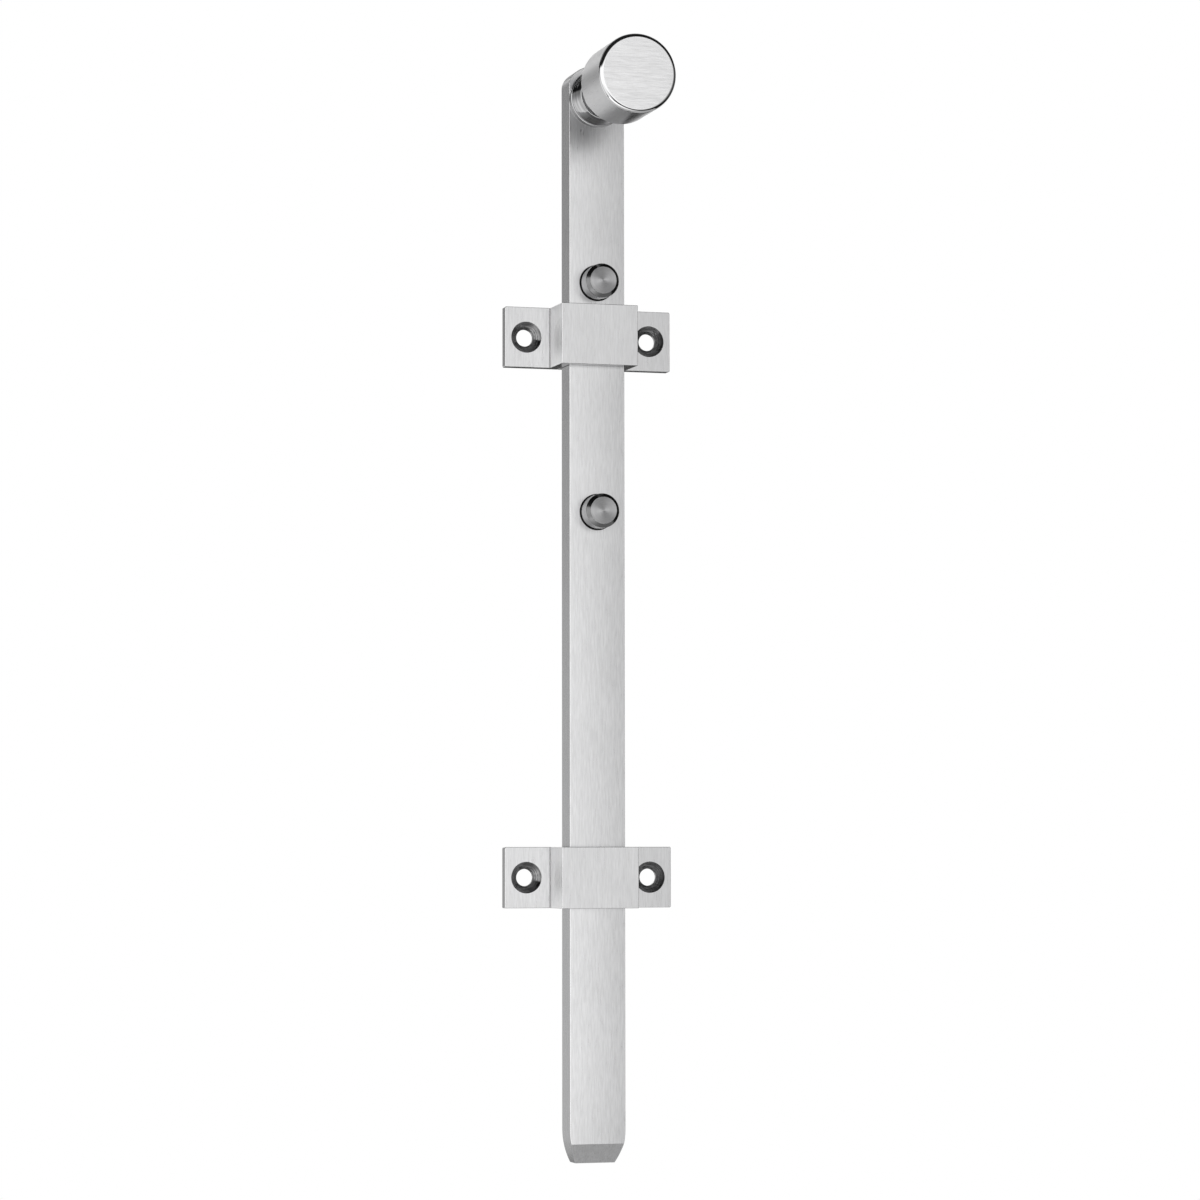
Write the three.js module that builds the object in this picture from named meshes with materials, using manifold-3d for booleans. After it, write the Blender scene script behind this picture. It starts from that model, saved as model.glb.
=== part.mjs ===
// Surface door bolt: a flat bar with a turned knob and two stop pins, sliding in two screwed guides.
// Millimetres. +X is right, +Y is into the door, +Z is up. The origin is the middle of the upper
// guide on the door's face. Standoff is the distance out from the door, so y = -standoff.

import * as THREE from 'three';
import { mergeVertices } from 'three/addons/utils/BufferGeometryUtils.js';
import Module from 'manifold-3d';

const wasm = await Module();
wasm.setup();

// Clearances
const SEAT_GAP = 0.05;
const SLIDE_GAP = 0.2;
const SCREW_GAP = 0.3;
const CUT_MARGIN = 1;

// Flat bar
const BAR_WIDTH = 16;
const BAR_THICKNESS = 8;
const BAR_BACK = 4;
const BAR_FRONT = BAR_BACK + BAR_THICKNESS;
const BAR_TOP = 76.3;
const BAR_LENGTH = 306.7;
const BAR_TIP = BAR_TOP - BAR_LENGTH;
const TOP_RADIUS = 10;
const TOP_CORNER_RADIUS = 4.6;
const TIP_TAPER = 2.3;
const TIP_TAPER_HEIGHT = 9.3;
const TIP_BEVEL_HEIGHT = 5.4;
const TIP_BEVEL_DEPTH = 2.8;

// Guides
const GUIDES = { upper: 0, lower: -151.5 };
const GUIDE_HEIGHT = 17;
const WING_SPAN = 48.4;
const WING_THICKNESS = 3;
const CHANNEL_WIDTH = BAR_WIDTH + 2 * SLIDE_GAP;
const SIDE_WALL = 2.85;
const FRONT_WALL = 2.9;
const CHANNEL_FRONT = BAR_FRONT + SLIDE_GAP;
const GUIDE_FRONT = CHANNEL_FRONT + FRONT_WALL;
const BRIDGE_WIDTH = CHANNEL_WIDTH + 2 * SIDE_WALL;
const MOUNT_HOLE_SPACING = 36;
const MOUNT_HOLE_RADIUS = 2.4;
const MOUNT_SINK_RADIUS = 4.4;

// Friction spring behind the bar, held at its upper end by one rivet
const SPRING_WIDTH = 8;
const SPRING_LENGTH = 15;
const SPRING_THICKNESS = 0.35;
const SPRING_BACK = WING_THICKNESS + SEAT_GAP;
const SPRING_CROWN = BAR_BACK - SEAT_GAP;
const SPRING_RISE = SPRING_CROWN - SPRING_THICKNESS - SPRING_BACK;
const SPRING_FOOT = 4.5;
const SPRING_STEPS = 8;
const RIVET_HEIGHT = 5.2;
const RIVET_RADIUS = 1.1;
const RIVET_HEAD_RADIUS = 1.9;
const RIVET_TAIL_RADIUS = 1.8;
const RIVET_TAIL_DEPTH = 0.8;
const RIVET_TAIL_INSET = 0.2;
const RIVET_HOLE_GAP = 0.15;

// Stop pins
const STOP_PINS = { upper: 14.75, lower: -49.65 };
const PIN_RADIUS = 4.8;
const PIN_HEIGHT = 6.5;
const PIN_CHAMFER = 1;
const PIN_SEAT_RADIUS = 5.1;
const PIN_SEAT_DEPTH = 0.5;
const PIN_THREAD_DEPTH = 5.5;

// Knob, stacked outwards from the bar's front
const KNOB_HEIGHT = 66.8;
const COLLAR_RADIUS = 8.1;
const COLLAR_THICKNESS = 2;
const COLLAR_CHAMFER = 0.3;
const HUB_BACK_RADIUS = 7.8;
const HUB_FRONT_RADIUS = 7.1;
const HUB_LENGTH = 6.2;
const NECK_RADIUS = 6;
const NECK_LENGTH = 13.3;
const SPIGOT_RADIUS = 4;
const SPIGOT_LENGTH = 4;
const HEAD_RADIUS = 10.95;
const HEAD_LENGTH = 18.3;
const HEAD_FRONT_ROUND = 1.1;
const HEAD_BACK_ROUND = 0.6;
const ROUND_STEPS = 3;
const COLLAR_FRONT = BAR_FRONT + COLLAR_THICKNESS;
const HUB_FRONT = COLLAR_FRONT + HUB_LENGTH;
const HEAD_BACK = HUB_FRONT + NECK_LENGTH;
const HEAD_FRONT = HEAD_BACK + HEAD_LENGTH;

// Countersunk socket screws, driven from the bar's back
const KNOB_SCREW = { radius: 3, headRadius: 5.8, length: 40, socketRadius: 2.3, socketDepth: 2.2 };
const STOP_SCREW = { radius: 2, headRadius: 3.9, length: 12, socketRadius: 1.45, socketDepth: 1.4 };
const SCREW_FACE = BAR_BACK + 0.2;
const SCREW_END_CHAMFER = 0.5;
const HEX_SIDES = 6;

// Facets round each turned surface
const KNOB_FACETS = 40;
const PIN_FACETS = 32;
const HOLE_FACETS = 28;
const SMALL_FACETS = 20;
const ARC_FACETS = 8;

// Turns an extrusion's (x, y, z) to (z, x, y).
const EXTRUSION_TO_SIDE_VIEW = new THREE.Matrix4().set(0, 0, 1, 0, 1, 0, 0, 0, 0, 1, 0, 0, 0, 0, 0, 1);

// Metals and their looks
const brushedSteel = () => new THREE.MeshStandardMaterial({ color: 0xc9c9ca, roughness: 0.38, metalness: 1 });
const turnedSteel = () => new THREE.MeshStandardMaterial({ color: 0xb4b4b6, roughness: 0.26, metalness: 1 });
const screwSteel = () => new THREE.MeshStandardMaterial({ color: 0x9c9da0, roughness: 0.42, metalness: 1 });
const springSteel = () => new THREE.MeshStandardMaterial({ color: 0xa8a9ad, roughness: 0.32, metalness: 1 });

// A ring of points (radius, standoff) from the door outwards, turned about an axis that leaves the door.
function turned(profile, facets) {
  const points = profile.map(([radius, standoff]) => new THREE.Vector2(radius, -standoff));
  return new THREE.LatheGeometry(points.reverse(), facets);
}

// A front-view outline (x, z) made into a plate between two standoffs.
function plate(outline, back, front) {
  const settings = { depth: front - back, bevelEnabled: false, curveSegments: ARC_FACETS };
  const geometry = new THREE.ExtrudeGeometry(outline, settings);
  geometry.translate(0, 0, back);
  geometry.rotateX(Math.PI / 2);
  return geometry;
}

// A side-view outline (y, z) made into a bar that runs along x, its middle at x = 0.
function crossbar(outline, width) {
  const geometry = new THREE.ExtrudeGeometry(outline, { depth: width, bevelEnabled: false });
  geometry.translate(0, 0, -width / 2);
  return geometry.applyMatrix4(EXTRUSION_TO_SIDE_VIEW);
}

// A closed outline through corner points.
function polygon(corners) {
  return new THREE.Shape(corners.map(([x, y]) => new THREE.Vector2(x, y)));
}

// Manifold solid of a closed geometry.
function solid(geometry) {
  const bare = geometry.clone();
  bare.deleteAttribute('normal');
  bare.deleteAttribute('uv');
  const merged = mergeVertices(bare);
  const vertProperties = new Float32Array(merged.attributes.position.array);
  const triVerts = new Uint32Array(merged.index.array);
  return new wasm.Manifold(new wasm.Mesh({ numProp: 3, vertProperties, triVerts }));
}

// A geometry with a list of cutter geometries taken out of it.
function cut(geometry, cutters) {
  const result = cutters.reduce((body, cutter) => body.subtract(solid(cutter)), solid(geometry)).getMesh();
  const carved = new THREE.BufferGeometry();
  carved.setAttribute('position', new THREE.BufferAttribute(result.vertProperties, result.numProp));
  carved.setIndex(new THREE.BufferAttribute(result.triVerts, 1));
  carved.computeVertexNormals();
  return carved;
}

function part(name, geometry, material, height = 0) {
  const mesh = new THREE.Mesh(geometry, material);
  mesh.name = name;
  mesh.position.z = height;
  return mesh;
}

// Points of a quarter round that leaves a turned side and ends on its face.
function roundedEdge(radius, face, round) {
  const towardsFace = Math.sign(round);
  const size = Math.abs(round);
  return Array.from({ length: ROUND_STEPS + 1 }, (_, step) => {
    const angle = (step / ROUND_STEPS) * (Math.PI / 2);
    const standoff = face - towardsFace * size * (1 - Math.sin(angle));
    return [radius - size * (1 - Math.cos(angle)), standoff];
  });
}

// The hole for a countersunk screw whose head goes in from the bar's back.
function screwHole(screw, x, z) {
  const radius = screw.radius + SCREW_GAP;
  const mouth = screw.headRadius + SCREW_GAP + (SCREW_FACE - BAR_BACK);
  const profile = [
    [0, BAR_BACK - CUT_MARGIN],
    [mouth + CUT_MARGIN, BAR_BACK - CUT_MARGIN],
    [radius, BAR_BACK + mouth - radius],
    [radius, BAR_FRONT + CUT_MARGIN],
    [0, BAR_FRONT + CUT_MARGIN],
  ];
  return turned(profile, HOLE_FACETS).translate(x, 0, z);
}

function barOutline() {
  const half = BAR_WIDTH / 2;
  const arcCentre = BAR_TOP - TOP_RADIUS;
  const cornerX = half - TOP_CORNER_RADIUS;
  const cornerRise = Math.sqrt((TOP_RADIUS - TOP_CORNER_RADIUS) ** 2 - cornerX ** 2);
  const cornerZ = arcCentre + cornerRise;
  const meet = Math.atan2(cornerRise, cornerX);
  const taperRadius = (TIP_TAPER_HEIGHT ** 2 + TIP_TAPER ** 2) / (2 * TIP_TAPER);
  const taperAngle = Math.asin(TIP_TAPER_HEIGHT / taperRadius);
  const taperZ = BAR_TIP + TIP_TAPER_HEIGHT;
  const outline = new THREE.Shape();
  outline.absarc(half - taperRadius, taperZ, taperRadius, -taperAngle, 0, false);
  outline.absarc(cornerX, cornerZ, TOP_CORNER_RADIUS, 0, meet, false);
  outline.absarc(0, arcCentre, TOP_RADIUS, meet, Math.PI - meet, false);
  outline.absarc(-cornerX, cornerZ, TOP_CORNER_RADIUS, Math.PI - meet, Math.PI, false);
  outline.absarc(taperRadius - half, taperZ, taperRadius, Math.PI, Math.PI + taperAngle, false);
  return outline;
}

// The wedge that bevels the front of the bar's tip.
function tipBevel() {
  const slope = TIP_BEVEL_HEIGHT / TIP_BEVEL_DEPTH;
  const section = polygon([
    [-BAR_FRONT + TIP_BEVEL_DEPTH + CUT_MARGIN, BAR_TIP - CUT_MARGIN * slope],
    [-BAR_FRONT - CUT_MARGIN, BAR_TIP + TIP_BEVEL_HEIGHT + CUT_MARGIN * slope],
    [-BAR_FRONT - CUT_MARGIN, BAR_TIP - CUT_MARGIN * slope],
  ]);
  return crossbar(section, BAR_WIDTH + CUT_MARGIN);
}

function boltBar() {
  const bar = plate(barOutline(), BAR_BACK, BAR_FRONT);
  const cutters = [tipBevel(), screwHole(KNOB_SCREW, 0, KNOB_HEIGHT)];
  for (const height of Object.values(STOP_PINS)) {
    const seat = [
      [0, BAR_FRONT - PIN_SEAT_DEPTH],
      [PIN_SEAT_RADIUS, BAR_FRONT - PIN_SEAT_DEPTH],
      [PIN_SEAT_RADIUS, BAR_FRONT + CUT_MARGIN],
      [0, BAR_FRONT + CUT_MARGIN],
    ];
    cutters.push(screwHole(STOP_SCREW, 0, height));
    cutters.push(turned(seat, PIN_FACETS).translate(0, 0, height));
  }
  return part('bolt_bar', cut(bar, cutters), brushedSteel());
}

// A countersunk screw with a hexagon socket, its face at SCREW_FACE.
function socketScrew(name, screw, height) {
  const end = SCREW_FACE + screw.length;
  const profile = [
    [0, SCREW_FACE],
    [screw.headRadius, SCREW_FACE],
    [screw.radius, SCREW_FACE + screw.headRadius - screw.radius],
    [screw.radius, end - SCREW_END_CHAMFER],
    [screw.radius - SCREW_END_CHAMFER, end],
    [0, end],
  ];
  const socket = [
    [0, SCREW_FACE - CUT_MARGIN],
    [screw.socketRadius, SCREW_FACE - CUT_MARGIN],
    [screw.socketRadius, SCREW_FACE + screw.socketDepth],
    [0, SCREW_FACE + screw.socketDepth],
  ];
  const body = cut(turned(profile, SMALL_FACETS), [turned(socket, HEX_SIDES)]);
  return part(name, body, screwSteel(), height);
}

function stopPin(name, height) {
  const base = BAR_FRONT - PIN_SEAT_DEPTH + SEAT_GAP;
  const face = BAR_FRONT + PIN_HEIGHT;
  const thread = STOP_SCREW.radius + SCREW_GAP;
  const profile = [
    [0, base + PIN_THREAD_DEPTH],
    [thread, base + PIN_THREAD_DEPTH],
    [thread, base],
    [PIN_RADIUS, base],
    [PIN_RADIUS, face - PIN_CHAMFER],
    [PIN_RADIUS - PIN_CHAMFER, face],
    [0, face],
  ];
  return part(name, turned(profile, PIN_FACETS), turnedSteel(), height);
}

function knobCollar() {
  const bore = KNOB_SCREW.radius + SCREW_GAP;
  const back = BAR_FRONT + SEAT_GAP;
  const profile = [
    [bore, back],
    [COLLAR_RADIUS, back],
    [COLLAR_RADIUS, COLLAR_FRONT - COLLAR_CHAMFER],
    [COLLAR_RADIUS - COLLAR_CHAMFER, COLLAR_FRONT],
    [bore, COLLAR_FRONT],
    [bore, back],
  ];
  return part('knob_collar', turned(profile, KNOB_FACETS), turnedSteel(), KNOB_HEIGHT);
}

function knobNeck() {
  const bore = KNOB_SCREW.radius + SCREW_GAP;
  const back = COLLAR_FRONT + SEAT_GAP;
  const shoulder = HEAD_BACK - SEAT_GAP;
  const end = shoulder + SPIGOT_LENGTH;
  const profile = [
    [bore, back],
    [HUB_BACK_RADIUS, back],
    [HUB_FRONT_RADIUS, HUB_FRONT],
    [NECK_RADIUS, HUB_FRONT],
    [NECK_RADIUS, shoulder],
    [SPIGOT_RADIUS, shoulder],
    [SPIGOT_RADIUS, end],
    [bore, end],
    [bore, back],
  ];
  return part('knob_neck', turned(profile, KNOB_FACETS), turnedSteel(), KNOB_HEIGHT);
}

function knobHead() {
  const thread = KNOB_SCREW.radius + SCREW_GAP;
  const socket = SPIGOT_RADIUS + SCREW_GAP;
  const socketEnd = HEAD_BACK + SPIGOT_LENGTH + SCREW_GAP;
  const threadEnd = SCREW_FACE + KNOB_SCREW.length + CUT_MARGIN;
  const profile = [
    [0, threadEnd],
    [thread, threadEnd],
    [thread, socketEnd],
    [socket, socketEnd],
    [socket, HEAD_BACK],
    ...roundedEdge(HEAD_RADIUS, HEAD_BACK, -HEAD_BACK_ROUND).reverse(),
    ...roundedEdge(HEAD_RADIUS, HEAD_FRONT, HEAD_FRONT_ROUND),
    [0, HEAD_FRONT],
  ];
  return part('knob_head', turned(profile, KNOB_FACETS), brushedSteel(), KNOB_HEIGHT);
}

// Hat-section guide: two screwed wings and a box that the bar slides in.
function guideBridge(name, height) {
  const wing = WING_SPAN / 2;
  const outer = BRIDGE_WIDTH / 2;
  const inner = CHANNEL_WIDTH / 2;
  const section = polygon([
    [-wing, 0],
    [-wing, -WING_THICKNESS],
    [-outer, -WING_THICKNESS],
    [-outer, -GUIDE_FRONT],
    [outer, -GUIDE_FRONT],
    [outer, -WING_THICKNESS],
    [wing, -WING_THICKNESS],
    [wing, 0],
    [inner, 0],
    [inner, -CHANNEL_FRONT],
    [-inner, -CHANNEL_FRONT],
    [-inner, 0],
  ]);
  const hat = new THREE.ExtrudeGeometry(section, { depth: GUIDE_HEIGHT, bevelEnabled: false });
  hat.translate(0, 0, -GUIDE_HEIGHT / 2);
  const sinkDepth = MOUNT_SINK_RADIUS - MOUNT_HOLE_RADIUS;
  const hole = [
    [0, -CUT_MARGIN],
    [MOUNT_HOLE_RADIUS, -CUT_MARGIN],
    [MOUNT_HOLE_RADIUS, WING_THICKNESS - sinkDepth],
    [MOUNT_SINK_RADIUS + CUT_MARGIN, WING_THICKNESS + CUT_MARGIN],
    [0, WING_THICKNESS + CUT_MARGIN],
  ];
  const places = [-MOUNT_HOLE_SPACING / 2, MOUNT_HOLE_SPACING / 2];
  const holes = places.map((x) => turned(hole, HOLE_FACETS).translate(x, 0, 0));
  return part(name, cut(hat, holes), brushedSteel(), height);
}

// Plate that closes the guide's channel, flush with the door's face.
function guideBackPlate(name, height) {
  const halfWidth = CHANNEL_WIDTH / 2 - SEAT_GAP;
  const halfHeight = GUIDE_HEIGHT / 2;
  const outline = polygon([
    [-halfWidth, -halfHeight],
    [halfWidth, -halfHeight],
    [halfWidth, halfHeight],
    [-halfWidth, halfHeight],
  ]);
  const hole = RIVET_RADIUS + RIVET_HOLE_GAP;
  const sink = RIVET_TAIL_RADIUS + RIVET_HOLE_GAP;
  const rivetHole = [
    [0, -CUT_MARGIN],
    [sink, -CUT_MARGIN],
    [sink, RIVET_TAIL_DEPTH + RIVET_HOLE_GAP],
    [hole, RIVET_TAIL_DEPTH + RIVET_HOLE_GAP],
    [hole, WING_THICKNESS + CUT_MARGIN],
    [0, WING_THICKNESS + CUT_MARGIN],
  ];
  const cutter = turned(rivetHole, SMALL_FACETS).translate(0, 0, RIVET_HEIGHT);
  return part(name, cut(plate(outline, 0, WING_THICKNESS), [cutter]), brushedSteel(), height);
}

// Side of the bowed leaf spring as (y, z) points, up its back and down its front.
function springSide() {
  const half = SPRING_LENGTH / 2;
  const bowTop = half - SPRING_FOOT;
  const path = [[0, half]];
  for (let step = 0; step <= SPRING_STEPS; step += 1) {
    const share = step / SPRING_STEPS;
    const bow = (1 - Math.cos(2 * Math.PI * share)) / 2;
    path.push([bow * SPRING_RISE, bowTop - share * (bowTop + half)]);
  }
  const back = path.map(([rise, z]) => [-(SPRING_BACK + rise), z]);
  const front = path.map(([rise, z]) => [-(SPRING_BACK + SPRING_THICKNESS + rise), z]);
  return polygon([...back, ...front.reverse()]);
}

function guideSpring(name, height) {
  const strip = crossbar(springSide(), SPRING_WIDTH);
  const hole = RIVET_RADIUS + RIVET_HOLE_GAP;
  const rivetHole = [
    [0, WING_THICKNESS - CUT_MARGIN],
    [hole, WING_THICKNESS - CUT_MARGIN],
    [hole, BAR_BACK + CUT_MARGIN],
    [0, BAR_BACK + CUT_MARGIN],
  ];
  const cutter = turned(rivetHole, SMALL_FACETS).translate(0, 0, RIVET_HEIGHT);
  return part(name, cut(strip, [cutter]), springSteel(), height);
}

function springRivet(name, height) {
  const headBack = SPRING_BACK + SPRING_THICKNESS + SEAT_GAP;
  const headFront = SPRING_CROWN - SEAT_GAP;
  const profile = [
    [0, RIVET_TAIL_INSET],
    [RIVET_TAIL_RADIUS, RIVET_TAIL_INSET],
    [RIVET_TAIL_RADIUS, RIVET_TAIL_DEPTH],
    [RIVET_RADIUS, RIVET_TAIL_DEPTH],
    [RIVET_RADIUS, headBack],
    [RIVET_HEAD_RADIUS, headBack],
    [RIVET_RADIUS, headFront],
    [0, headFront],
  ];
  return part(name, turned(profile, SMALL_FACETS), screwSteel(), height + RIVET_HEIGHT);
}

const bolt = new THREE.Group();
bolt.add(boltBar());
bolt.add(knobCollar());
bolt.add(knobNeck());
bolt.add(knobHead());
bolt.add(socketScrew('knob_screw', KNOB_SCREW, KNOB_HEIGHT));
for (const [side, height] of Object.entries(STOP_PINS)) {
  bolt.add(stopPin(`${side}_stop_pin`, height));
  bolt.add(socketScrew(`${side}_stop_screw`, STOP_SCREW, height));
}

const guides = new THREE.Group();
for (const [side, height] of Object.entries(GUIDES)) {
  guides.add(guideBridge(`${side}_guide_bridge`, height));
  guides.add(guideBackPlate(`${side}_guide_back_plate`, height));
  guides.add(guideSpring(`${side}_guide_spring`, height));
  guides.add(springRivet(`${side}_guide_rivet`, height));
}

const surfaceBolt = new THREE.Group();
surfaceBolt.add(bolt, guides);

export default surfaceBolt;
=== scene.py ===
"""Surface door bolt in brushed stainless steel: fine meshes, finishes, studio and camera round its frame."""
import math

import bmesh
import bpy
from mathutils import Matrix, Vector


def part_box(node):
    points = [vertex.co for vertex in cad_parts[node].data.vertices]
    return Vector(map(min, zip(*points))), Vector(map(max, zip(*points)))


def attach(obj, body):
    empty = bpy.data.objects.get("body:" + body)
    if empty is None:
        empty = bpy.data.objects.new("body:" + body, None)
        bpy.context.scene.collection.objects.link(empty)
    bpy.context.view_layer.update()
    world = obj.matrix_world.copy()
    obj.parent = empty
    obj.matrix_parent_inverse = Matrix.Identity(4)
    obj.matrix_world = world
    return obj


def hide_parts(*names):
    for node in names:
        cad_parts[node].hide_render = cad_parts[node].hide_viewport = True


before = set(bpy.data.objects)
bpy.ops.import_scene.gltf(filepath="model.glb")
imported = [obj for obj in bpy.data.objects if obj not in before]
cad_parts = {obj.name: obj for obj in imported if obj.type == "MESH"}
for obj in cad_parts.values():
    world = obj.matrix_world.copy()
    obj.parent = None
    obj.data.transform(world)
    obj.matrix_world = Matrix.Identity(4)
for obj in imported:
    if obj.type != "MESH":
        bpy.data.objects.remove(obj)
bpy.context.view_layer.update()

MM = 0.001

# ---------------------------------------------------------------- sizes, from the frame where it gives them

BAR_LOW, BAR_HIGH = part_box("bolt_bar")
BAR_BACK, BAR_FRONT = BAR_HIGH.y, BAR_LOW.y
BAR_HALF = BAR_HIGH.x
BAR_TOP, BAR_TIP = BAR_HIGH.z, BAR_LOW.z
BAR_TOP_RADIUS = 10 * MM
BAR_TOP_CORNER = 4.6 * MM
TIP_TAPER = 2.3 * MM
TIP_TAPER_HEIGHT = 9.3 * MM
TIP_BEVEL_HEIGHT = 5.4 * MM
TIP_BEVEL_DEPTH = 2.8 * MM
BAR_EDGE = 0.8 * MM
BAR_EDGE_SEGMENTS = 7
BAR_EDGE_PROFILE = 0.72

KNOB_LOW, KNOB_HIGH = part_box("knob_head")
KNOB_BACK, KNOB_FRONT = KNOB_HIGH.y, KNOB_LOW.y
KNOB_RADIUS = KNOB_HIGH.x
KNOB_Z = (KNOB_LOW.z + KNOB_HIGH.z) / 2
KNOB_CENTRE = (0, 0, KNOB_Z)
KNOB_FRONT_ROUND = 1.1 * MM
KNOB_BACK_ROUND = 0.6 * MM
COLLAR_LOW, COLLAR_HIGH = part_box("knob_collar")
COLLAR_RADIUS = COLLAR_HIGH.x
NECK_LOW, NECK_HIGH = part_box("knob_neck")
HUB_BACK, SPIGOT_FRONT = NECK_HIGH.y, NECK_LOW.y
HUB_BACK_RADIUS = NECK_HIGH.x
HUB_FRONT_RADIUS = 7.1 * MM
HUB_LENGTH = 6.2 * MM
NECK_RADIUS = 6 * MM
SPIGOT_RADIUS = 4 * MM
NECK_GAP = 0.05 * MM

PIN_CHAMFER = 1 * MM
PIN_SEAT_RADIUS = 5.1 * MM
PIN_SEAT_DEPTH = 0.5 * MM
PIN_THREAD_DEPTH = 5.5 * MM
# The painted shade ring at a pin's foot ends this far in front of the bar
PIN_SHADE_RING = 0.35 * MM

SCREW_GAP = 0.3 * MM
SCREW_MOUTH_GAP = 0.5 * MM
SCREW_END_CHAMFER = 0.5 * MM
KNOB_SCREW = {"shank": 3 * MM, "socket": 2.3 * MM, "socket_depth": 2.2 * MM}
STOP_SCREW = {"shank": 2 * MM, "socket": 1.45 * MM, "socket_depth": 1.4 * MM}
HEX_SIDES = 6

GUIDE_HALF_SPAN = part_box("upper_guide_bridge")[1].x
GUIDE_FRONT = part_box("upper_guide_bridge")[0].y
GUIDE_EDGE = 0.42 * MM
WING_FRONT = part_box("upper_guide_back_plate")[0].y
WING_CORNER = 0.4 * MM
CORNER_GROOVE = 0.25 * MM
SLIDE_GAP = 0.2 * MM
SIDE_WALL = 2.85 * MM
CHANNEL_HALF = BAR_HALF + SLIDE_GAP
CHANNEL_FRONT = BAR_FRONT - SLIDE_GAP
BRIDGE_HALF = CHANNEL_HALF + SIDE_WALL
MOUNT_HOLE_X = 18 * MM
MOUNT_HOLE_RADIUS = 2.4 * MM
MOUNT_SINK_RADIUS = 4.4 * MM
MOUNT_HOLE_LIP = 0.15 * MM

SPRING_THICKNESS = 0.35 * MM
SPRING_FOOT = 4.5 * MM
SPRING_STEPS = 24
SPRING_EDGE_SEGMENTS = 2
RIVET_SHANK = 1.1 * MM
RIVET_HEAD = 1.9 * MM
RIVET_HEAD_HEIGHT = 0.45 * MM
RIVET_TAIL = 1.8 * MM
RIVET_TAIL_HEIGHT = 0.6 * MM
RIVET_SINK_DEPTH = 0.95 * MM
RIVET_GAP = 0.15 * MM

SIDES = ("upper", "lower")
RINGS = 128
SMALL_RINGS = 56
CUT = 1 * MM
BREAK = 0.15 * MM
NEAREST = 1e-7
ARC_STEPS = 4
LARGE_ARC_STEPS = 10
TOP_ARC_STEPS = 24

# A face counts as turned to an axis when that part of its normal is past one of these
FACING = 0.999
FLAT = 0.9
NEARLY_FLAT = 0.85
HALF_TURNED = 0.5

# Edges sharper than the first or the second are softened. Smooth shading stops at the third.
SHARP = math.radians(28)
SQUARE = math.radians(60)
SMOOTH_LIMIT = math.radians(25)

# The cross-section of a softened edge: this is a circle
ROUND_PROFILE = 0.5
# How much large faces outweigh small ones where they share a normal
FLAT_FACE_WEIGHT = 100

# ---------------------------------------------------------------- studio

FLOOR_DROP = 0.06
FLOOR_RADIUS = 0.4
FLOOR_SIDES = 96
FLOOR_LIT_SIDE = (-0.8, -0.6, 0)
FLOOR_LIT_REACH = 0.3
FLOOR_LEVEL = 0.45
FLOOR_LIT_LEVEL = 1.5
FLOOR_RIM_START = 0.3
FLOOR_RIM_LEVEL = 0.8
FLOOR_MIDDLE = 0.05

# The studio's lights. Each has a level and fades, which are multiplied. A fade takes one part of the
# direction (to the right, inwards to the door, or up) and goes from a start to an end between two values.
RIGHT, INWARDS, UP = range(3)
DARK_LEVEL = 0.012
DIM_LEVEL = 0.05
FRONT = (
    1.38,
    (
        (INWARDS, -0.15, 0.25, 1, 0),
        (UP, 0.26, 0.38, 1, DARK_LEVEL),
        (UP, -0.36, -0.2, DARK_LEVEL, 1),
        (RIGHT, 0, 0.9, 1, DIM_LEVEL),
    ),
)
LEFT_BOX = (1.12, ((RIGHT, -0.6, -0.35, 1, 0), (INWARDS, 0, 0.3, 1, 0), (UP, 0.16, 0.26, 1, 0)))
LEFT_WALL = (
    0.95,
    (
        (RIGHT, -0.14, 0, 1, 0),
        (INWARDS, 0.1, 0.4, 0, 1),
        (UP, -0.1, 0.22, 1, 0.3),
        (UP, 0.24, 0.3, 1, DARK_LEVEL),
        (UP, -0.6, -0.45, DARK_LEVEL, 1),
    ),
)
BACKDROP = (
    1.25,
    (
        (RIGHT, -0.3, -0.16, 0, 1),
        (RIGHT, 0.36, 0.5, 1, DARK_LEVEL),
        (INWARDS, 0.1, 0.4, 0, 1),
        (UP, -0.1, 0, DARK_LEVEL, 1),
        (UP, 0.34, 0.42, 1, DARK_LEVEL),
    ),
)
RIGHT_WALL = (0.55, ((RIGHT, 0.45, 0.6, 0, 1), (INWARDS, 0.36, 0.5, 0, 1), (UP, 0.34, 0.42, 1, 0)))
CEILING = (0.28, ((INWARDS, 0.3, 0.5, 0, 1), (UP, 0.42, 0.5, 0, 1)))
LIGHTS = (FRONT, LEFT_BOX, LEFT_WALL, BACKDROP, RIGHT_WALL, CEILING)

# The camera in the frame: its place in metres, its turn in radians, its lens and sensor in millimetres
CAMERA_PLACE = (-0.3131, -1.0636, -0.1427)
CAMERA_YAW = math.radians(16.62)
CAMERA_PITCH = math.radians(3.57)
CAMERA_ROLL = math.radians(-0.07)
CAMERA_LENS = 118.23
CAMERA_SENSOR = 36


def height_of(node):
    low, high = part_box(node)
    return (low.z + high.z) / 2


# ---------------------------------------------------------------- outlines


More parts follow.
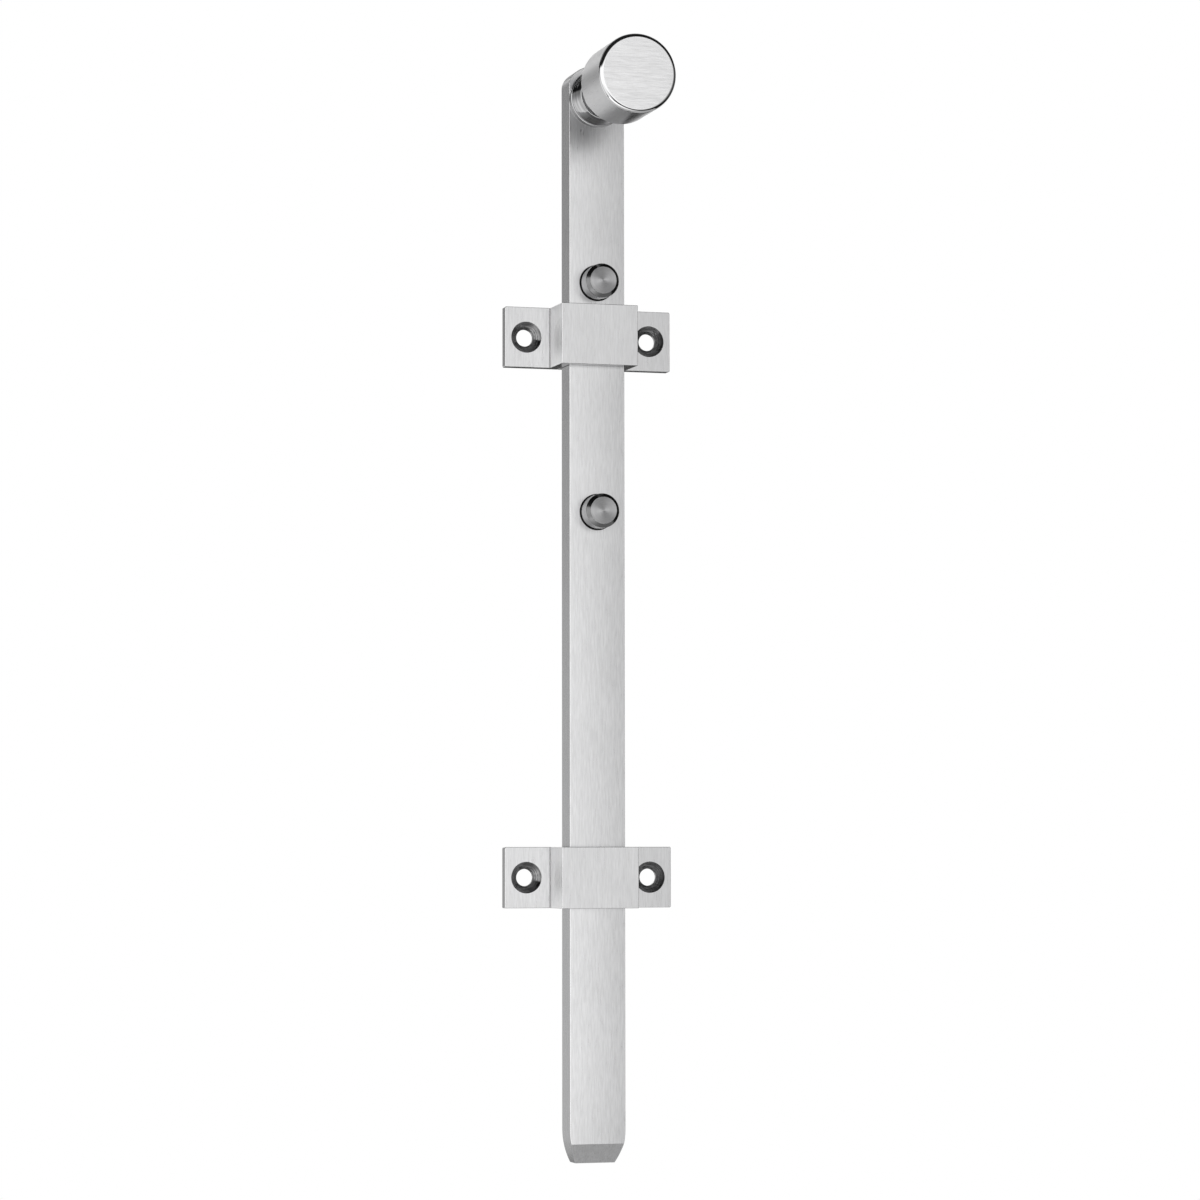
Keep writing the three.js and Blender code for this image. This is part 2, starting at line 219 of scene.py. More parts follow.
def fillet(corners, closed=True, steps=ARC_STEPS):
    """Corner points (a, b, radius) as (a, b) points, each corner with a radius made into an arc."""
    points = []
    count = len(corners)
    for index, (a, b, radius) in enumerate(corners):
        corner = Vector((a, b))
        at_end = not closed and index in (0, count - 1)
        if radius == 0 or at_end:
            points.append(corner)
            continue
        before = (Vector(corners[index - 1][:2]) - corner).normalized()
        after = (Vector(corners[(index + 1) % count][:2]) - corner).normalized()
        half_angle = before.angle(after) / 2
        reach = radius / math.tan(half_angle)
        start = corner + before * reach
        end = corner + after * reach
        centre = corner + (before + after).normalized() * (radius / math.sin(half_angle))
        turn = (start - centre).angle_signed(end - centre)
        for step in range(steps + 1):
            points.append(centre + Matrix.Rotation(-turn * step / steps, 2) @ (start - centre))
    return [(point.x, point.y) for point in points]


def arc(centre, radius, start, end, steps):
    """Points of an arc in the plane, its angles in radians."""
    angles = [start + (end - start) * step / steps for step in range(steps + 1)]
    return [(centre[0] + radius * math.cos(a), centre[1] + radius * math.sin(a)) for a in angles]


def without_repeats(points):
    kept = [points[0]]
    for point in points[1:]:
        if math.dist(point, kept[-1]) > NEAREST:
            kept.append(point)
    if math.dist(kept[0], kept[-1]) < NEAREST:
        kept.pop()
    return kept


# ---------------------------------------------------------------- meshes


def new_object(name, bm, finishes):
    """An object from a bmesh, with its materials."""
    bmesh.ops.remove_doubles(bm, verts=bm.verts, dist=NEAREST)
    bmesh.ops.recalc_face_normals(bm, faces=bm.faces)
    mesh = bpy.data.meshes.new(name)
    bm.to_mesh(mesh)
    bm.free()
    for finish in finishes:
        mesh.materials.append(finish)
    obj = bpy.data.objects.new(name, mesh)
    bpy.context.scene.collection.objects.link(obj)
    return obj


def apply_modifiers(obj):
    """Writes what the object's modifiers make into its mesh."""
    graph = bpy.context.evaluated_depsgraph_get()
    mesh = bpy.data.meshes.new_from_object(obj.evaluated_get(graph))
    obj.modifiers.clear()
    old = obj.data
    obj.data = mesh
    bpy.data.meshes.remove(old)


def shade(obj):
    """Smooth rounded edges between flat faces that stay flat."""
    obj.data.polygons.foreach_set("use_smooth", [True] * len(obj.data.polygons))
    obj.data.set_sharp_from_angle(angle=SMOOTH_LIMIT)
    modifier = obj.modifiers.new("flat_faces", "WEIGHTED_NORMAL")
    modifier.weight = FLAT_FACE_WEIGHT
    modifier.keep_sharp = True
    apply_modifiers(obj)


def prism(outline, low, high, place):
    """A bmesh prism: the outline, repeated at low and high, with place(a, b, depth) giving each corner."""
    bm = bmesh.new()
    outline = without_repeats(outline)
    rings = [[bm.verts.new(place(a, b, depth)) for a, b in outline] for depth in (low, high)]
    bm.faces.new(rings[0])
    bm.faces.new(reversed(rings[1]))
    for index in range(len(outline)):
        after = (index + 1) % len(outline)
        bm.faces.new((rings[0][index], rings[1][index], rings[1][after], rings[0][after]))
    bmesh.ops.recalc_face_normals(bm, faces=bm.faces)
    return bm


def front_view(a, b, depth):
    return Vector((a, depth, b))


def plan_view(a, b, depth):
    return Vector((a, b, depth))


def side_view(a, b, depth):
    return Vector((depth, a, b))


def soften(bm, size, edge_finish, limit=SHARP, segments=ARC_STEPS, profile=ROUND_PROFILE):
    """Rounds every edge sharper than the limit and gives the new faces the edge finish."""
    sharp = [e for e in bm.edges if len(e.link_faces) == 2 and e.calc_face_angle() > limit]
    rounding = {"offset": size, "segments": segments, "profile": profile, "material": edge_finish}
    bmesh.ops.bevel(bm, geom=sharp, affect="EDGES", clamp_overlap=True, **rounding)


def revolve(profile, z, closed=False, rings=RINGS):
    """A bmesh turned about the line x = 0 at height z, from (radius, y) points."""
    bm = bmesh.new()
    loops = []
    for radius, y in profile:
        if radius < NEAREST:
            loops.append([bm.verts.new((0, y, z))])
            continue
        angles = [2 * math.pi * step / rings for step in range(rings)]
        loops.append([bm.verts.new((radius * math.cos(a), y, z + radius * math.sin(a))) for a in angles])
    pairs = list(zip(loops, loops[1:]))
    if closed:
        pairs.append((loops[-1], loops[0]))
    for near, far in pairs:
        for step in range(rings):
            after = (step + 1) % rings
            corners = [near[step % len(near)], near[after % len(near)]]
            corners += [far[after % len(far)], far[step % len(far)]]
            unique = list(dict.fromkeys(corners))
            if len(unique) > 2:
                bm.faces.new(unique)
    bmesh.ops.recalc_face_normals(bm, faces=bm.faces)
    return bm


def carve(obj, cutters):
    """Takes the cutter bmeshes out of the object. Each cut face takes its cutter's material."""
    for bm, finish in cutters:
        cutter = new_object("cutter", bm, [finish])
        modifier = obj.modifiers.new("cut", "BOOLEAN")
        modifier.operation = "DIFFERENCE"
        modifier.solver = "EXACT"
        modifier.material_mode = "TRANSFER"
        modifier.object = cutter
        apply_modifiers(obj)
        bpy.data.objects.remove(cutter)


def settle(obj, node, body):
    """Puts a finished piece in the frame in place of its CAD node."""
    shade(obj)
    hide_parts(node)
    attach(obj, body)


# ---------------------------------------------------------------- material nodes


class Graph:
    """A short way to write a node tree."""

    def __init__(self, tree):
        self.tree = tree
        tree.nodes.clear()

    def add(self, kind, inputs=None, **settings):
        made = self.tree.nodes.new(kind)
        for key, value in settings.items():
            setattr(made, key, value)
        for key, value in (inputs or {}).items():
            self.feed(made.inputs[key], value)
        return made

    def feed(self, socket, value):
        if isinstance(value, bpy.types.NodeSocket):
            self.tree.links.new(value, socket)
        else:
            socket.default_value = value

    def math(self, operation, first, second=0.0):
        return self.add("ShaderNodeMath", {0: first, 1: second}, operation=operation).outputs[0]

    def product(self, *values):
        total = values[0]
        for value in values[1:]:
            total = self.math("MULTIPLY", total, value)
        return total

    def remap(self, value, low, high, to_low, to_high, kind="LINEAR"):
        inputs = {0: value, 1: low, 2: high, 3: to_low, 4: to_high}
        return self.add("ShaderNodeMapRange", inputs, interpolation_type=kind).outputs[0]

    def fade(self, value, low, high, to_low, to_high):
        """A soft step between two levels."""
        return self.remap(value, low, high, to_low, to_high, kind="SMOOTHSTEP")

    def noise(self, vector, scale=1.0):
        inputs = {"Vector": vector, "Scale": scale, "Detail": NOISE_DETAIL}
        return self.add("ShaderNodeTexNoise", inputs).outputs["Fac"]

    def vector(self, operation, first, second):
        return self.add("ShaderNodeVectorMath", {0: first, 1: second}, operation=operation).outputs[0]

    def combine(self, x, y, z):
        return self.add("ShaderNodeCombineXYZ", {0: x, 1: y, 2: z}).outputs[0]


# Grain: how often it repeats in a metre across and along the brushing, and how much each size counts
FINE_GRAIN = (4200, 420)
STREAK_GRAIN = (1900, 200)
FINE_SHARE = 0.45
STREAK_SHARE = 0.55
NOISE_DETAIL = 2.0
BROAD_GRAIN = 42
BROAD_TONE = 0.2
GRAIN_LOW, GRAIN_HIGH = 0.3, 0.7
GRAIN_RELIEF = 0.02 * MM
ROUGHNESS_SPREAD = 0.12
TURN_ARM = 6 * MM
ACROSS_GRAIN = 0.25
# Grain along x or z leans slightly, so that faces square to it have a direction too
GRAIN_LEAN = 0.02
ALONG = {"x": (1, 0, GRAIN_LEAN), "y": (0, 1, 0), "z": (GRAIN_LEAN, 0, 1)}


def straight_grain(graph, along):
    """Coordinates, the long axis and the direction of a grain that runs straight."""
    coordinates = graph.add("ShaderNodeTexCoord").outputs["Object"]
    return coordinates, "xyz".index(along), graph.combine(*ALONG[along])


def turned_grain(graph, centre):
    """Coordinates (radius, depth, turn), the long axis and the direction of a grain turned about a centre."""
    coordinates = graph.add("ShaderNodeTexCoord").outputs["Object"]
    x, y, z = graph.add("ShaderNodeSeparateXYZ", {0: graph.vector("SUBTRACT", coordinates, centre)}).outputs
    flat = graph.combine(x, 0.0, z)
    radius = graph.add("ShaderNodeVectorMath", {0: flat}, operation="LENGTH").outputs["Value"]
    turn = graph.math("ABSOLUTE", graph.math("ARCTAN2", z, x))
    wrapped = graph.combine(radius, y, graph.product(turn, TURN_ARM))
    direction = graph.combine(graph.product(z, -1.0), 0.0, x)
    return wrapped, 2, direction


def grain_scale(long_axis, grain, coarseness):
    across, along = grain
    return [(along if axis == long_axis else across) / coarseness for axis in range(3)]


def steel(
    name, colour, roughness, anisotropy=0, centre=None, along="z", tone=0.05, bump=0.25, coarseness=1, crown=0
):
    """Brushed or turned stainless steel. The grain runs along an axis, or round the centre if one is given.

    Tone is how far the grey varies, bump is the grain's relief, and coarseness is the grain's size.
    A crown is the radius of a face that looks flat but is rolled slightly round from left to right.
    """
    material = bpy.data.materials.new(name)
    material.use_nodes = True
    graph = Graph(material.node_tree)
    grain = turned_grain(graph, centre) if centre else straight_grain(graph, along)
    coordinates, long_axis, direction = grain
    fine_place = graph.vector("MULTIPLY", coordinates, grain_scale(long_axis, FINE_GRAIN, coarseness))
    streak_place = graph.vector("MULTIPLY", coordinates, grain_scale(long_axis, STREAK_GRAIN, coarseness))
    fine = graph.product(graph.noise(fine_place), FINE_SHARE)
    streak = graph.product(graph.noise(streak_place), STREAK_SHARE)
    mixed = graph.math("ADD", fine, streak)
    broad = graph.noise(coordinates, scale=BROAD_GRAIN)
    broad_tone = tone * BROAD_TONE
    shade_level = graph.remap(mixed, GRAIN_LOW, GRAIN_HIGH, 1 - tone, 1 + tone)
    broad_level = graph.remap(broad, GRAIN_LOW, GRAIN_HIGH, 1 - broad_tone, 1 + broad_tone)
    level = graph.product(shade_level, broad_level)
    base = graph.combine(*[graph.product(level, channel) for channel in colour])
    low_rough, high_rough = roughness * (1 - ROUGHNESS_SPREAD), roughness * (1 + ROUGHNESS_SPREAD)
    rough = graph.remap(mixed, GRAIN_LOW, GRAIN_HIGH, low_rough, high_rough)
    relief = graph.add("ShaderNodeBump", {"Distance": bump * GRAIN_RELIEF, "Height": mixed}).outputs[0]
    if crown:
        x = graph.add("ShaderNodeSeparateXYZ", {0: coordinates}).outputs[0]
        # Near its top a circle falls by x squared over twice its radius
        fall = graph.product(x, x, -1 / (2 * crown))
        relief = graph.add("ShaderNodeBump", {"Distance": 1.0, "Height": fall, "Normal": relief}).outputs[0]
    inputs = {"Base Color": base, "Metallic": 1.0, "Roughness": rough, "Normal": relief}
    if anisotropy:
        inputs.update({"Anisotropic": anisotropy, "Anisotropic Rotation": ACROSS_GRAIN, "Tangent": direction})
    shader = graph.add("ShaderNodeBsdfPrincipled", inputs)
    graph.add("ShaderNodeOutputMaterial", {"Surface": shader.outputs[0]})
    return material


# ---------------------------------------------------------------- finishes

# Greys for the steel. The brushed faces keep the steel's own grey and the knob's face a paler one. The others
# are painted light and shade, given by how a face turns: the near-white is painted light on the guides'
# sides, the next a painted highlight on the bar's and guides' rounded edges, and the darker greys painted
# shade on sides, ends, tops and bottoms, countersinks, the collar, the hub, the pins and their seats.
WHITE = (0.98, 0.98, 0.985)
PALE = (0.84, 0.84, 0.845)
BRIGHT = (0.74, 0.74, 0.745)
STEEL = (0.67, 0.67, 0.675)
MID_SHADE = (0.5, 0.5, 0.505)
DIM_GREY = (0.36, 0.36, 0.365)
DEEP_SHADE = (0.26, 0.26, 0.262)
DARK = (0.2, 0.2, 0.202)
SHADE_BLACK = (0.05, 0.05, 0.05)

bar_face = steel("bar_brushed", STEEL, 0.3, anisotropy=0.5, tone=0.13, bump=0.05, crown=0.13)
# The bar's sides and its top and tip ends get a darker grey than its faces, painted shade; its rounded edges
# a lighter one, a painted highlight
bar_side = steel("bar_side_brushed_shaded", DIM_GREY, 0.26, anisotropy=0.3, tone=0.12, bump=0.05)
bar_end = steel("bar_end_shaded", DIM_GREY, 0.34, along="x", tone=0.12)
bar_edge = steel("bar_edge_highlight", BRIGHT, 0.22, tone=0.1)
guide_face = steel("guide_brushed", STEEL, 0.3, anisotropy=0.4, tone=0.12, bump=0.05, crown=0.8)
# The guides' sides get a near-white grey, painted light. Their tops and bottoms and wing ends get darker
# greys, painted shade, and their rounded edges a lighter one, a painted highlight
guide_side = steel("guide_side_brushed_lit", WHITE, 0.58, tone=0.1, bump=0.05)
guide_cut = steel("guide_top_bottom_shaded", MID_SHADE, 0.2, along="x", tone=0.14)
guide_end = steel("guide_end_shaded", DARK, 0.24, tone=0.1, bump=0.05)
guide_edge = steel("guide_edge_highlight", BRIGHT, 0.14, tone=0.08, bump=0.05)
knob_face = steel("knob_face_brushed", PALE, 0.24, anisotropy=0.3, along="x", tone=0.18, bump=0.1)
# The knob's side, the hub and the collar's front get a darker grey than the knob's face, and the collar's
# side a deeper one: painted shade
knob_side = steel("knob_side_brushed_shaded", MID_SHADE, 0.3, anisotropy=0.5, along="y", tone=0.1)
knob_edge = steel("knob_polished_edge", BRIGHT, 0.06, centre=KNOB_CENTRE, tone=0.02, bump=0.02)
hub_turned = steel("hub_turned", MID_SHADE, 0.07, centre=KNOB_CENTRE, tone=0.35, bump=2, coarseness=2.5)
collar_side = steel("collar_side_turned_shaded", DEEP_SHADE, 0.1, centre=KNOB_CENTRE, tone=0.3, bump=1, coarseness=2)
screw_satin = steel("screw_satin", DIM_GREY, 0.38, tone=0.06)
spring_smooth = steel("spring_smooth", DIM_GREY, 0.3, tone=0.05)
# Near black, painted shade: it lines the pin seats, rings the pins' feet and fills the grooves where the
# wings meet the box
painted_seat_shade = steel("painted_seat_shade", SHADE_BLACK, 0.6, tone=0.2)


# ---------------------------------------------------------------- bar


def bar_outline():
    corner_x = BAR_HALF - BAR_TOP_CORNER
    arc_z = BAR_TOP - BAR_TOP_RADIUS
    rise = math.sqrt((BAR_TOP_RADIUS - BAR_TOP_CORNER) ** 2 - corner_x**2)
    meet = math.atan2(rise, corner_x)
    taper_radius = (TIP_TAPER_HEIGHT**2 + TIP_TAPER**2) / (2 * TIP_TAPER)
    taper_angle = math.asin(TIP_TAPER_HEIGHT / taper_radius)
    taper_centre = BAR_HALF - taper_radius
    taper_z = BAR_TIP + TIP_TAPER_HEIGHT
    right = arc((taper_centre, taper_z), taper_radius, -taper_angle, 0, LARGE_ARC_STEPS)
    right += arc((corner_x, arc_z + rise), BAR_TOP_CORNER, 0, meet, LARGE_ARC_STEPS)
    top = arc((0, arc_z), BAR_TOP_RADIUS, meet, math.pi - meet, TOP_ARC_STEPS)
    left = [(-x, z) for x, z in reversed(right)]
    return right + top + left


def bevel_tip(bm):
    """Cuts the slope off the front of the bar's tip and closes it with a face."""
    point = Vector((0, BAR_FRONT, BAR_TIP + TIP_BEVEL_HEIGHT))
    normal = Vector((0, -TIP_BEVEL_HEIGHT, -TIP_BEVEL_DEPTH)).normalized()
    everything = bm.verts[:] + bm.edges[:] + bm.faces[:]
    cut = bmesh.ops.bisect_plane(bm, geom=everything, plane_co=point, plane_no=normal, clear_outer=True)
    rim = [e for e in cut["geom_cut"] if isinstance(e, bmesh.types.BMEdge)]
    bmesh.ops.contextual_create(bm, geom=rim)
    bmesh.ops.recalc_face_normals(bm, faces=bm.faces)


def screw_cutter(screw, bore):
    """The countersunk hole for a screw whose head goes in from the bar's back."""
    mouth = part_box(screw)[1].x + SCREW_MOUTH_GAP + CUT
    profile = [(0, BAR_BACK + CUT), (mouth, BAR_BACK + CUT), (bore, BAR_BACK + CUT - (mouth - bore))]
    profile += [(bore, BAR_FRONT - CUT), (0, BAR_FRONT - CUT)]
    return revolve(profile, height_of(screw), rings=SMALL_RINGS)


def pin_seat_cutter(z):
    floor = BAR_FRONT + PIN_SEAT_DEPTH
    profile = [(0, floor), (PIN_SEAT_RADIUS, floor), (PIN_SEAT_RADIUS, BAR_FRONT - CUT), (0, BAR_FRONT - CUT)]
    return revolve(profile, z)


def make_bar():
    bm = prism(bar_outline(), BAR_BACK, BAR_FRONT, front_view)
    bevel_tip(bm)
    face_finish, side_finish, edge_finish, end_finish = range(4)
    for face in bm.faces:
        if abs(face.normal.y) > HALF_TURNED:
            face.material_index = face_finish
        else:
            face.material_index = side_finish if abs(face.normal.x) > FLAT else end_finish
    soften(bm, BAR_EDGE, edge_finish, segments=BAR_EDGE_SEGMENTS, profile=BAR_EDGE_PROFILE)
    # Rounded edge faces that turn to the side take the sides' painted shade
    for face in bm.faces:
        if face.material_index == edge_finish and abs(face.normal.x) > NEARLY_FLAT:
            face.material_index = side_finish
    bar = new_object("bar", bm, [bar_face, bar_side, bar_edge, bar_end])
    cutters = [(screw_cutter("knob_screw", KNOB_SCREW["shank"] + SCREW_GAP), screw_satin)]
    for side in SIDES:
        cutters.append((screw_cutter(f"{side}_stop_screw", STOP_SCREW["shank"] + SCREW_GAP), screw_satin))
        # Each pin seat is lined with painted shade
        cutters.append((pin_seat_cutter(height_of(f"{side}_stop_pin")), painted_seat_shade))
    carve(bar, cutters)
    settle(bar, "bolt_bar", "bolt")


# ---------------------------------------------------------------- knob


def make_knob_head():
    bore = KNOB_SCREW["shank"] + SCREW_GAP
    bore_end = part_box("knob_screw")[0].y - CUT
    socket_end = SPIGOT_FRONT - SCREW_GAP
    corners = [
        (0, bore_end, 0),
        (bore, bore_end, 0),
        (bore, socket_end, 0),
        (SPIGOT_RADIUS + SCREW_GAP, socket_end, 0),
        (SPIGOT_RADIUS + SCREW_GAP, KNOB_BACK, 0),
        (KNOB_RADIUS, KNOB_BACK, KNOB_BACK_ROUND),
        (KNOB_RADIUS, KNOB_FRONT, KNOB_FRONT_ROUND),
        (0, KNOB_FRONT, 0),
    ]
    bm = revolve(fillet(corners, closed=False, steps=LARGE_ARC_STEPS), KNOB_Z)
    # The side takes the darker grey, painted shade, and the front face the paler one
    side_finish, face_finish, edge_finish = range(3)
    for face in bm.faces:
        if face.calc_center_median().y > KNOB_FRONT + KNOB_FRONT_ROUND:
            face.material_index = side_finish
        else:
            face.material_index = face_finish if face.normal.y < -FACING else edge_finish
    head = new_object("knob_head_fine", bm, [knob_side, knob_face, knob_edge])
    settle(head, "knob_head", "bolt")


def make_knob_neck():
    bore = KNOB_SCREW["shank"] + SCREW_GAP
    hub_front = HUB_BACK - HUB_LENGTH
    shoulder = KNOB_BACK + NECK_GAP
    corners = [
        (bore, HUB_BACK, 0),
        (HUB_BACK_RADIUS, HUB_BACK, BREAK),
        (HUB_FRONT_RADIUS, hub_front, 2 * BREAK),
        (NECK_RADIUS, hub_front, 2 * BREAK),
        (NECK_RADIUS, shoulder, BREAK),
        (SPIGOT_RADIUS, shoulder, 0),
        (SPIGOT_RADIUS, SPIGOT_FRONT, BREAK),
        (bore, SPIGOT_FRONT, 0),
    ]
    neck = new_object("knob_neck_fine", revolve(fillet(corners), KNOB_Z, closed=True), [hub_turned])
    settle(neck, "knob_neck", "bolt")


def make_knob_collar():
    bore = KNOB_SCREW["shank"] + SCREW_GAP
    corners = [
        (bore, COLLAR_HIGH.y, 0),
        (COLLAR_RADIUS, COLLAR_HIGH.y, BREAK),
        (COLLAR_RADIUS, COLLAR_LOW.y, 2 * BREAK),
        (bore, COLLAR_LOW.y, 0),
    ]
    bm = revolve(fillet(corners), KNOB_Z, closed=True)
    # The collar's side takes its painted shade
    for face in bm.faces:
        face.material_index = int(abs(face.normal.y) < HALF_TURNED)
    collar = new_object("knob_collar_fine", bm, [hub_turned, collar_side])
    settle(collar, "knob_collar", "bolt")


# ---------------------------------------------------------------- stop pins and screws


def make_stop_pin(side):
    node = f"{side}_stop_pin"
    low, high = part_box(node)
    z = height_of(node)
    radius = high.x
    bore = STOP_SCREW["shank"] + SCREW_GAP
    corners = [
        (0, high.y - PIN_THREAD_DEPTH, 0),
        (bore, high.y - PIN_THREAD_DEPTH, 0),
        (bore, high.y, 0),
        (radius, high.y, BREAK),
        (radius, BAR_FRONT - PIN_SHADE_RING, 0),
        (radius, low.y + PIN_CHAMFER, 2 * BREAK),
        (radius - PIN_CHAMFER, low.y, BREAK),
        (0, low.y, 0),
    ]
    turned = {"centre": (0, 0, z), "bump": 2, "coarseness": 2}
    # A pin's face, side and chamfer get greys darker than the bar's face, darkest on the chamfer: painted
    # shade
    pin_side = steel(f"{side}_pin_side", DIM_GREY, 0.12, tone=0.2, **turned)
    pin_face = steel(f"{side}_pin_face", MID_SHADE, 0.42, anisotropy=0.9, tone=0.2, **turned)
    pin_chamfer = steel(f"{side}_pin_chamfer", DARK, 0.2, tone=0.2, **turned)
    bm = revolve(fillet(corners, closed=False), z)
    face_finish, chamfer_finish, side_finish, shade_ring_finish = range(4)
    for face in bm.faces:
        y = face.calc_center_median().y
        if face.normal.y < -FLAT:
            face.material_index = face_finish
        elif y < low.y + PIN_CHAMFER:
            face.material_index = chamfer_finish
        else:
            # The band of the side nearest the bar is painted shade
            face.material_index = side_finish if y < BAR_FRONT - PIN_SHADE_RING else shade_ring_finish
    pin = new_object(f"{node}_fine", bm, [pin_face, pin_chamfer, pin_side, painted_seat_shade])
    settle(pin, node, "bolt")


def make_screw(node, screw):
    low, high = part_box(node)
    z = height_of(node)
    head = high.x
    shank = screw["shank"]
    corners = [
        (0, high.y, 0),
        (head, high.y, BREAK),
        (shank, high.y - (head - shank), BREAK),
        (shank, low.y + SCREW_END_CHAMFER, 0),
        (shank - SCREW_END_CHAMFER, low.y, 0),
        (0, low.y, 0),
    ]
    bm = revolve(fillet(corners, closed=False), z, rings=SMALL_RINGS)
    obj = new_object(f"{node}_fine", bm, [screw_satin])
    hexagon = arc((0, z), screw["socket"], 0, 2 * math.pi, HEX_SIDES)
    socket = prism(hexagon, high.y + CUT, high.y - screw["socket_depth"], front_view)
    carve(obj, [(socket, screw_satin)])
    settle(obj, node, "bolt")


# ---------------------------------------------------------------- guides


def mount_hole_cutter(x, z):
    sink = MOUNT_SINK_RADIUS - MOUNT_HOLE_RADIUS
    corners = [
        (0, CUT, 0),
        (MOUNT_HOLE_RADIUS, CUT, 0),
        (MOUNT_HOLE_RADIUS, WING_FRONT + sink, MOUNT_HOLE_LIP),
        (MOUNT_SINK_RADIUS, WING_FRONT, MOUNT_HOLE_LIP),
        (MOUNT_SINK_RADIUS + SCREW_GAP, WING_FRONT - CUT, 0),
        (0, WING_FRONT - CUT, 0),
    ]
    bm = revolve(fillet(corners, closed=False), z)
    bmesh.ops.translate(bm, verts=bm.verts, vec=(x, 0, 0))
    return bm


def bridge_section():
    """The guide's hat section in plan, with a fine groove where each wing meets the box."""
    half = [
        (CHANNEL_HALF, 0),
        (GUIDE_HALF_SPAN, 0),
        (GUIDE_HALF_SPAN, WING_FRONT),
        (BRIDGE_HALF + CORNER_GROOVE, WING_FRONT),
        (BRIDGE_HALF, WING_FRONT + CORNER_GROOVE),
        (BRIDGE_HALF, GUIDE_FRONT),
    ]
    section = half + [(-x, y) for x, y in reversed(half)]
    return section + [(-CHANNEL_HALF, CHANNEL_FRONT), (CHANNEL_HALF, CHANNEL_FRONT)]


def round_wing_corners(bm):
    def at_wing_end(edge):
        ends_out = all(abs(abs(vertex.co.x) - GUIDE_HALF_SPAN) < NEAREST for vertex in edge.verts)
        return ends_out and abs(edge.verts[0].co.y - edge.verts[1].co.y) > NEAREST

    corners = [edge for edge in bm.edges if at_wing_end(edge)]
    rounding = {"offset": WING_CORNER, "segments": ARC_STEPS, "profile": ROUND_PROFILE}
    bmesh.ops.bevel(bm, geom=corners, affect="EDGES", clamp_overlap=True, **rounding)


def make_bridge(side):
    node = f"{side}_guide_bridge"
    low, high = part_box(node)
    z = height_of(node)
    bm = prism(bridge_section(), low.z, high.z, plan_view)
    round_wing_corners(bm)
    # Faces that get none of these keep the first finish, the brushed face. The sides get painted light; the
    # tops and bottoms, wing ends and grooves get painted shade.
    edge_finish, side_finish, end_finish, cut_finish, groove_finish = range(1, 6)
    for face in bm.faces:
        at_end = abs(face.calc_center_median().x) > BRIDGE_HALF + CUT
        if abs(face.normal.x) > FLAT:
            face.material_index = end_finish if at_end else side_finish
        elif abs(face.normal.z) > HALF_TURNED:
            face.material_index = cut_finish
        elif abs(face.normal.x) > HALF_TURNED:
            face.material_index = groove_finish
    soften(bm, GUIDE_EDGE, edge_finish, limit=SQUARE)
    # Rounded edges that turn up or down take the tops' painted shade
    for face in bm.faces:
        if face.material_index == edge_finish and abs(face.normal.z) > HALF_TURNED:
            face.material_index = cut_finish
    finishes = [guide_face, guide_edge, guide_side, guide_end, guide_cut, painted_seat_shade]
    bridge = new_object(f"{node}_fine", bm, finishes)
    cutters = []
    for hand, x in (("left", -MOUNT_HOLE_X), ("right", MOUNT_HOLE_X)):
        name = f"{side}_sink_{hand}"
        # Each countersink gets a deep grey with strong rings: painted shade in the hollow
        finish = steel(name, DEEP_SHADE, 0.14, centre=(x, 0, z), tone=0.6, bump=12, coarseness=2)
        cutters.append((mount_hole_cutter(x, z), finish))
    carve(bridge, cutters)
    settle(bridge, node, "guides")


def make_back_plate(side):
    node = f"{side}_guide_back_plate"
    low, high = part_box(node)
    outline = [(low.x, low.z), (high.x, low.z), (high.x, high.z), (low.x, high.z)]
    bm = prism(outline, low.y, high.y, front_view)
    edge_finish = 1
    soften(bm, BREAK, edge_finish)
    plate = new_object(f"{node}_fine", bm, [guide_face, guide_edge])
    hole = RIVET_SHANK + RIVET_GAP
    sink = RIVET_TAIL + RIVET_GAP
    profile = [(0, CUT), (sink, CUT), (sink, -RIVET_SINK_DEPTH), (hole, -RIVET_SINK_DEPTH)]
    profile += [(hole, WING_FRONT - CUT), (0, WING_FRONT - CUT)]
    carve(plate, [(revolve(profile, height_of(f"{side}_guide_rivet"), rings=SMALL_RINGS), screw_satin)])
    settle(plate, node, "guides")


def make_spring(side):
    node = f"{side}_guide_spring"
    low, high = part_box(node)
    rise = (high.y - low.y) - SPRING_THICKNESS
    start = high.z - SPRING_FOOT
    path = [(0, high.z)]
    for step in range(SPRING_STEPS + 1):
        share = step / SPRING_STEPS
        path.append((rise * (1 - math.cos(2 * math.pi * share)) / 2, start - share * (start - low.z)))
    back = [(high.y - bow, z) for bow, z in path]
    front = [(high.y - SPRING_THICKNESS - bow, z) for bow, z in path]
    bm = prism(back + front[::-1], low.x, high.x, side_view)
    only_finish = 0
    soften(bm, BREAK / 2, only_finish, limit=SQUARE, segments=SPRING_EDGE_SEGMENTS)
    spring = new_object(f"{node}_fine", bm, [spring_smooth])
    hole = RIVET_SHANK + RIVET_GAP
    profile = [(0, low.y - CUT), (hole, low.y - CUT), (hole, high.y + CUT), (0, high.y + CUT)]
    carve(spring, [(revolve(profile, height_of(f"{side}_guide_rivet"), rings=SMALL_RINGS), spring_smooth)])
    settle(spring, node, "guides")


